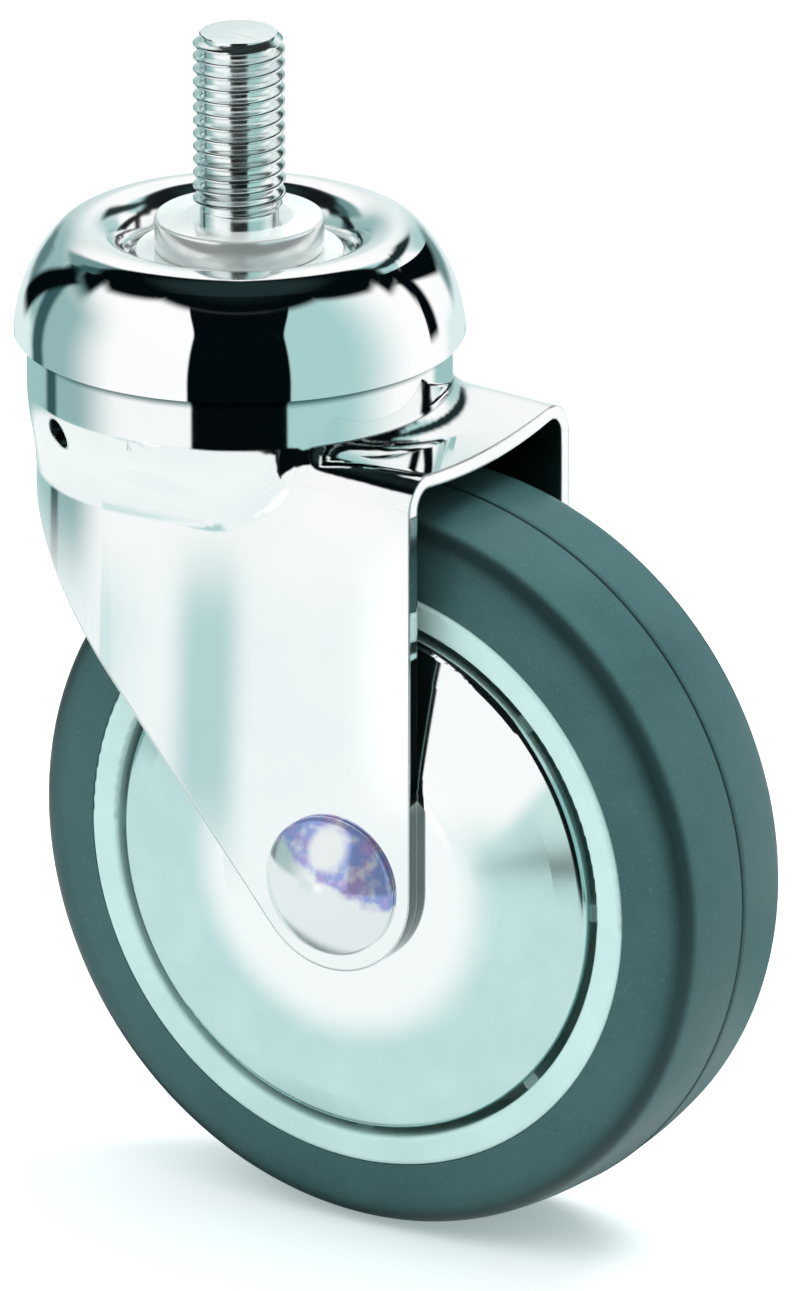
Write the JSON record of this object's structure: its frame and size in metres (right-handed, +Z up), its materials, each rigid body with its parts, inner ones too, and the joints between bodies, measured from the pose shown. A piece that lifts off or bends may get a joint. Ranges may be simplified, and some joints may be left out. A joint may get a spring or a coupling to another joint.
{
  "type": "swivel castor",
  "caption": "Swivel castor: a rubber-tyred wheel in a chromed pressed fork that turns under a dust cap, fixed by a threaded stem.",
  "frame": {"origin": "on the swivel axis, at the flange's seating face, where the threaded stem starts", "axes": "+Z up the stem, +X from the swivel axis towards the wheel's axle, the axle along Y with its domed head on the -Y side"},
  "size_m": [0.1053, 0.0609, 0.156],
  "materials": {
    "chrome_fork": "bright chrome plate on pressed steel",
    "chrome_cap": "mirror chrome plate on stamped steel",
    "chrome_guard": "bright chrome plate on thin sheet",
    "polished_steel": "polished domed head",
    "zinc_steel": "bright zinc plate",
    "bearing_steel": "ground bearing steel",
    "tyre_rubber": "satin grey rubber",
    "core_plastic": "smooth moulded plastic",
    "nylon": "natural nylon"
  },
  "bodies": {
    "stem": {"threaded_stem": "zinc_steel", "stem_washer": "zinc_steel", "dust_cap": "chrome_cap", "upper_raceway": "bearing_steel", "upper_balls": "bearing_steel", "lower_balls": "bearing_steel", "lower_raceway": "bearing_steel", "rivet_washer": "zinc_steel"},
    "fork": {"fork": "chrome_fork", "axle_bolt": "polished_steel", "axle_washer": "zinc_steel", "axle_nut": "zinc_steel", "nut_insert": "nylon", "bearing_spacer": "zinc_steel", "thread_guard_near": "chrome_guard", "thread_guard_far": "chrome_guard", "end_spacer_near": "zinc_steel", "end_spacer_far": "zinc_steel", "inner_ring_near": "bearing_steel", "inner_ring_far": "bearing_steel"},
    "wheel": {"tyre": "tyre_rubber", "wheel_core": "core_plastic", "outer_ring_near": "bearing_steel", "outer_ring_far": "bearing_steel", "bearing_balls_near": "bearing_steel", "bearing_balls_far": "bearing_steel", "ball_cage_near": "nylon", "ball_cage_far": "nylon", "bearing_shields_near": "bearing_steel", "bearing_shields_far": "bearing_steel"}
  },
  "joints": [
    {"name": "swivel", "type": "hinge", "parent": "stem", "child": "fork", "pos_m": [0, 0, 0], "axis": [0, 0, 1], "continuous": true},
    {"name": "wheel_spin", "type": "hinge", "parent": "fork", "child": "wheel", "pos_m": [0.026, 0, -0.081], "axis": [0, 1, 0], "continuous": true}
  ]
}
